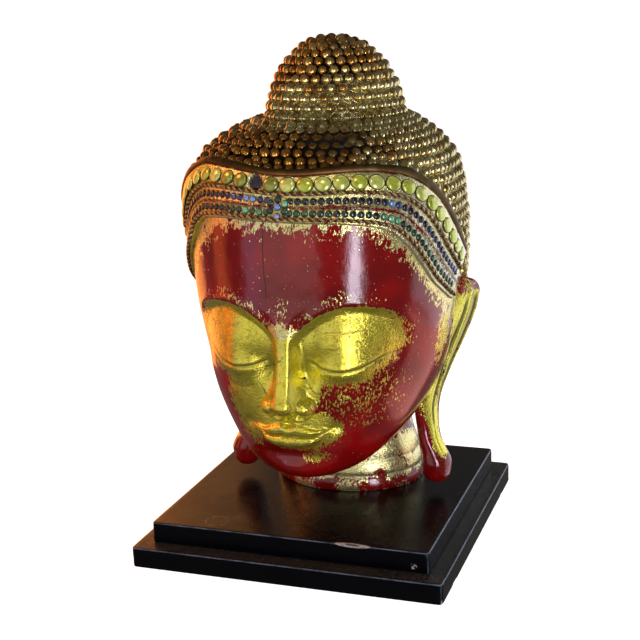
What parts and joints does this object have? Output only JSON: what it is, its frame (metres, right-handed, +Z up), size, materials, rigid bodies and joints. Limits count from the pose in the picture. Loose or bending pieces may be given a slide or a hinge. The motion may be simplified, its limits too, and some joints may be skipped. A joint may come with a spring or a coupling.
{
  "type": "buddha head on plinth",
  "caption": "Lacquered and gilded wooden Buddha head with tight curls, long ears and a headband of inlaid glass, standing on a stepped black plinth.",
  "frame": {"origin": "centre of the plinth's underside", "axes": "+Z up, -Y the way the face looks, +X towards the head's own left ear"},
  "size_m": [0.29, 0.29, 0.4632],
  "materials": {
    "lacquer_and_gold": "red lacquer with worn gold leaf over carved wood",
    "black_lacquer": "satin black lacquer on wooden board",
    "yellow_glass": "foil-backed yellow-green glass",
    "green_glass": "foil-backed green glass",
    "blue_glass": "foil-backed blue glass"
  },
  "bodies": {
    "root": {"disc_glass_left_1": "yellow_glass", "disc_glass_left_10": "yellow_glass", "disc_glass_left_11": "yellow_glass", "disc_glass_left_12": "yellow_glass", "disc_glass_left_13": "yellow_glass", "disc_glass_left_14": "yellow_glass", "disc_glass_left_15": "yellow_glass", "disc_glass_left_2": "yellow_glass", "disc_glass_left_3": "yellow_glass", "disc_glass_left_4": "yellow_glass", "disc_glass_left_5": "yellow_glass", "disc_glass_left_6": "yellow_glass", "disc_glass_left_7": "yellow_glass", "disc_glass_left_8": "yellow_glass", "disc_glass_left_9": "yellow_glass", "disc_glass_right_1": "yellow_glass", "disc_glass_right_10": "yellow_glass", "disc_glass_right_11": "yellow_glass", "disc_glass_right_12": "yellow_glass", "disc_glass_right_13": "yellow_glass", "disc_glass_right_14": "yellow_glass", "disc_glass_right_15": "yellow_glass", "disc_glass_right_3": "yellow_glass", "disc_glass_right_4": "yellow_glass", "disc_glass_right_5": "yellow_glass", "disc_glass_right_6": "yellow_glass", "disc_glass_right_7": "yellow_glass", "disc_glass_right_8": "yellow_glass", "disc_glass_right_9": "yellow_glass", "head": "lacquer_and_gold", "plinth_lower_board": "black_lacquer", "plinth_upper_board": "black_lacquer", "rosette_centre_glass": "blue_glass", "rosette_petal_glass_1": "green_glass", "rosette_petal_glass_2": "green_glass", "rosette_petal_glass_3": "green_glass", "rosette_petal_glass_4": "blue_glass", "rosette_petal_glass_5": "green_glass", "rosette_petal_glass_6": "green_glass"}
  },
  "joints": []
}
